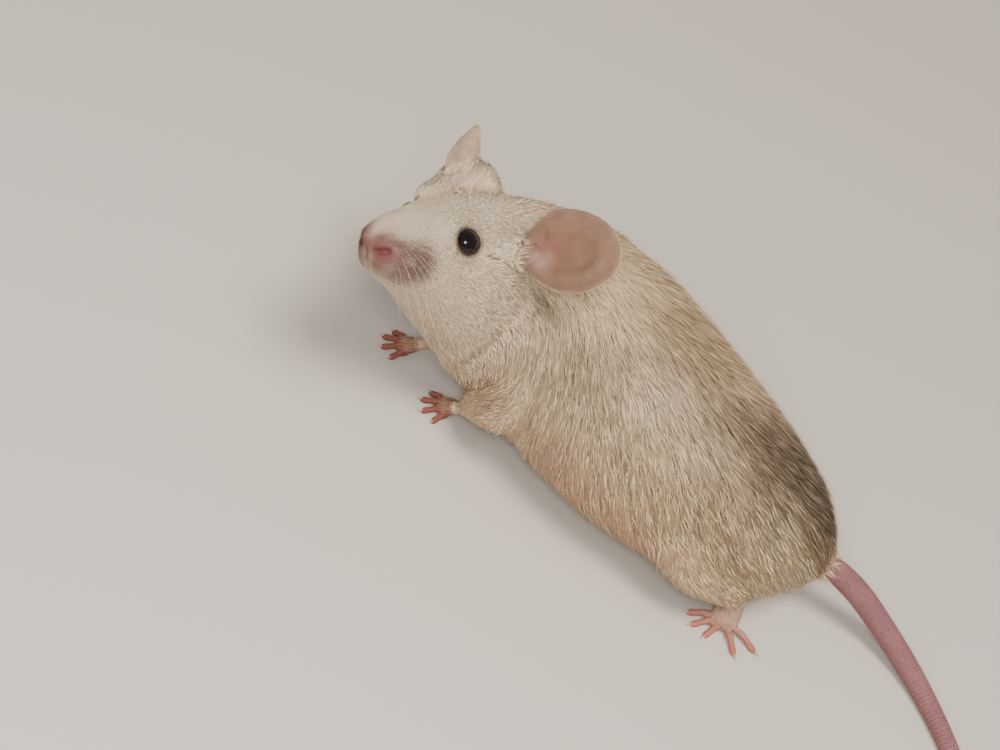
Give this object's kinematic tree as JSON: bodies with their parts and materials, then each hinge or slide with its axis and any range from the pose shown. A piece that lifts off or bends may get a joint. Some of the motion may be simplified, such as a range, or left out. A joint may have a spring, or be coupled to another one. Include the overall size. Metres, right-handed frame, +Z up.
{
  "type": "house mouse",
  "caption": "Life-size still model of a house mouse, crouched on its belly with its chest and head raised, head turned left, tail laid in a curve behind.",
  "frame": {"origin": "on the floor under the middle of the mouse's box", "axes": "-Y towards the head, +X towards the animal's own left, +Z up"},
  "size_m": [0.0766, 0.1162, 0.0395],
  "materials": {
    "coat": "short soft cream fur with a grey-brown saddle on the rump",
    "ear_skin": "thin matt pinkish tan skin with a fine down",
    "bare_skin": "soft satin pink skin of the feet, nose and ringed tail",
    "eye": "wet, glossy black",
    "claw": "pale, slightly translucent horn",
    "whisker": "fine white hair"
  },
  "bodies": {
    "root": {"head": "coat", "neck": "coat", "chest": "coat", "belly": "coat", "rump": "coat", "eye_left": "eye", "eye_right": "eye", "ear_left": "ear_skin", "ear_right": "ear_skin", "hind_left_leg": "coat", "hind_left_foot": "bare_skin", "hind_right_leg": "coat", "hind_right_foot": "bare_skin", "fore_left_leg": "coat", "fore_left_foot": "bare_skin", "fore_right_leg": "coat", "fore_right_foot": "bare_skin", "tail_root": "bare_skin", "tail_middle": "bare_skin", "tail_tip": "bare_skin"}
  },
  "joints": []
}
